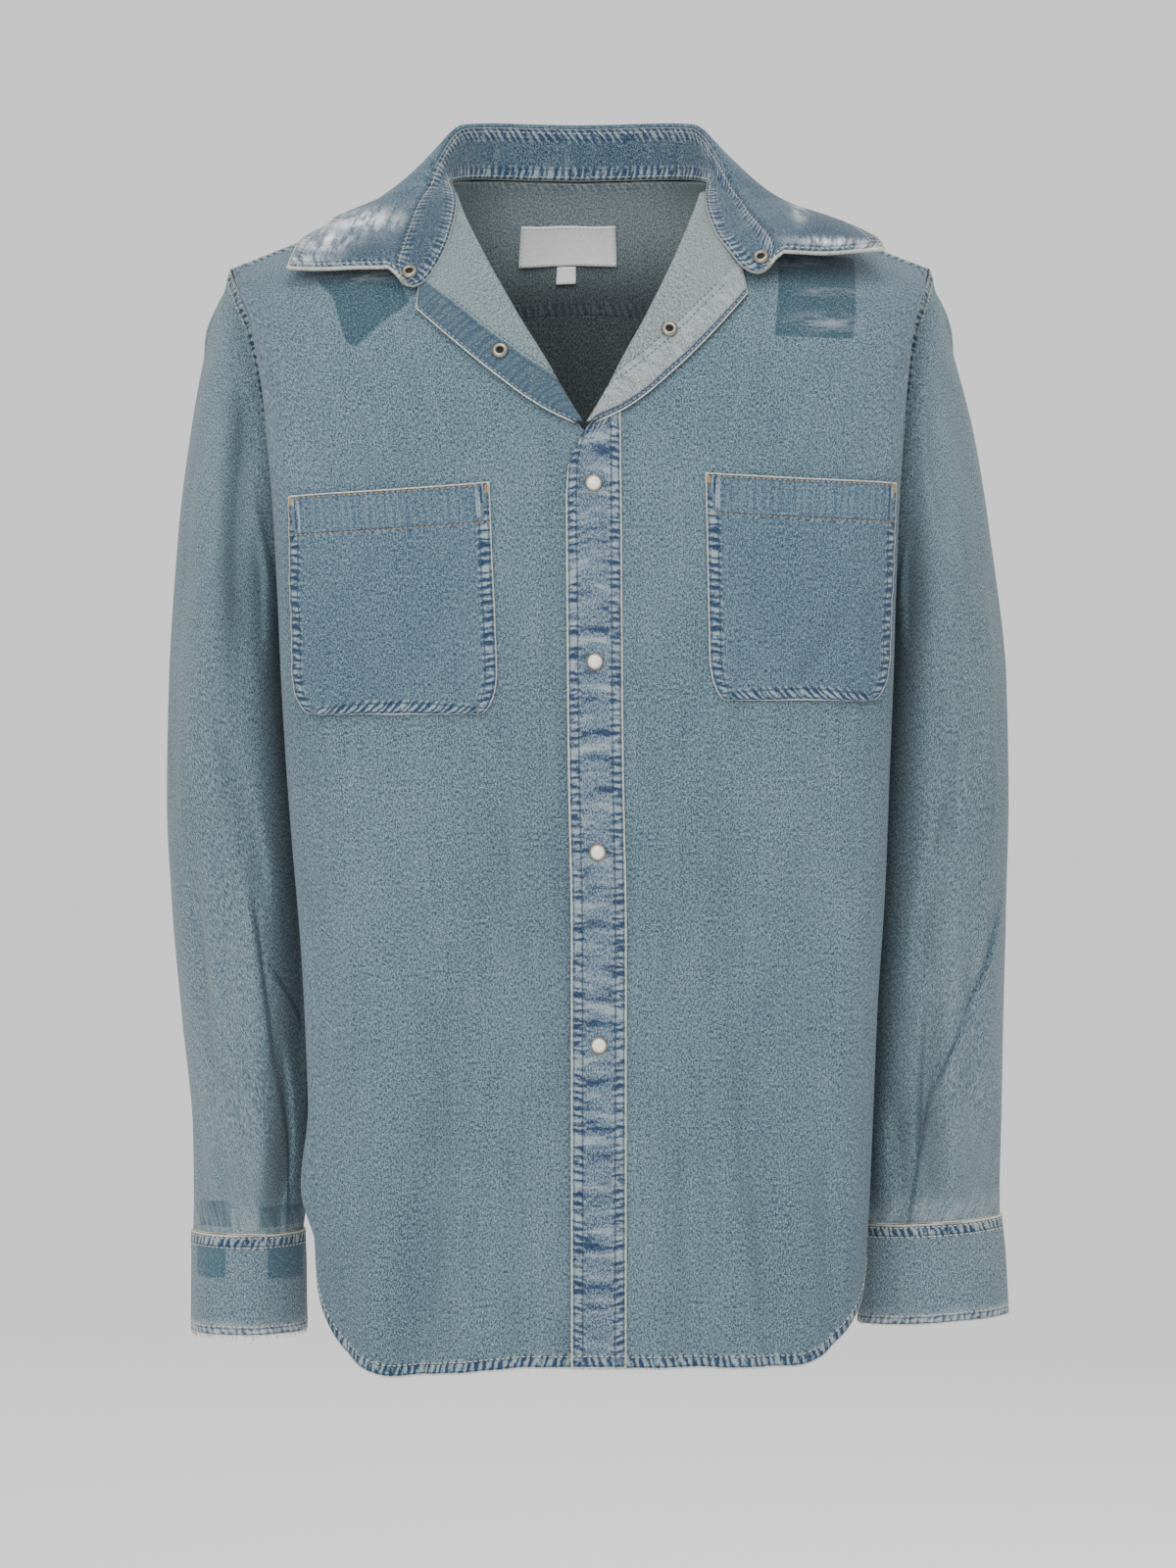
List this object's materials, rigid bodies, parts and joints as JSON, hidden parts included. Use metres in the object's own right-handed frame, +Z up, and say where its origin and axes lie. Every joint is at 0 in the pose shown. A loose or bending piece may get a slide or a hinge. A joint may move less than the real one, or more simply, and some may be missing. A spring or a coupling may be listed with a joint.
{
  "type": "denim shirt",
  "caption": "Long-sleeved denim shirt in worn form, neck turned out and front closed with snaps, hollow with open neck, hem and cuffs.",
  "frame": {"origin": "middle of the neck opening, level with where the collar meets the shoulder seams, where a wearer holds the shirt up", "axes": "+Z up, along the body; -Y out of the shirt's front; +X to the wearer's left, which is right in the front view"},
  "size_m": [0.5707, 0.2547, 0.859],
  "materials": {
    "denim": "washed grey-blue twill",
    "denim_double": "washed blue twill, worn pale at its edges",
    "denim_reverse": "pale reverse of the twill",
    "label": "plain white woven",
    "snap_metal": "polished, silver-coloured"
  },
  "bodies": {
    "root": {"front_right": "denim", "front_left": "denim", "back": "denim", "yoke": "denim", "sleeve_right": "denim", "sleeve_left": "denim", "sleeve_placket_right": "denim", "sleeve_placket_left": "denim", "cuff_right": "denim", "cuff_left": "denim", "pocket_right": "denim", "pocket_left": "denim", "placket": "denim_double", "collar_stand": "denim_double", "collar_leaf": "denim_double", "facing_right": "denim_reverse", "facing_left": "denim_reverse", "neck_label": "label", "neck_label_tab": "label", "placket_snap_1": "snap_metal", "placket_snap_2": "snap_metal", "placket_snap_3": "snap_metal", "placket_snap_4": "snap_metal", "cuff_snap_right": "snap_metal", "cuff_snap_left": "snap_metal", "facing_snap_right": "snap_metal", "facing_snap_left": "snap_metal", "collar_snap_right": "snap_metal", "collar_snap_left": "snap_metal"}
  },
  "joints": []
}
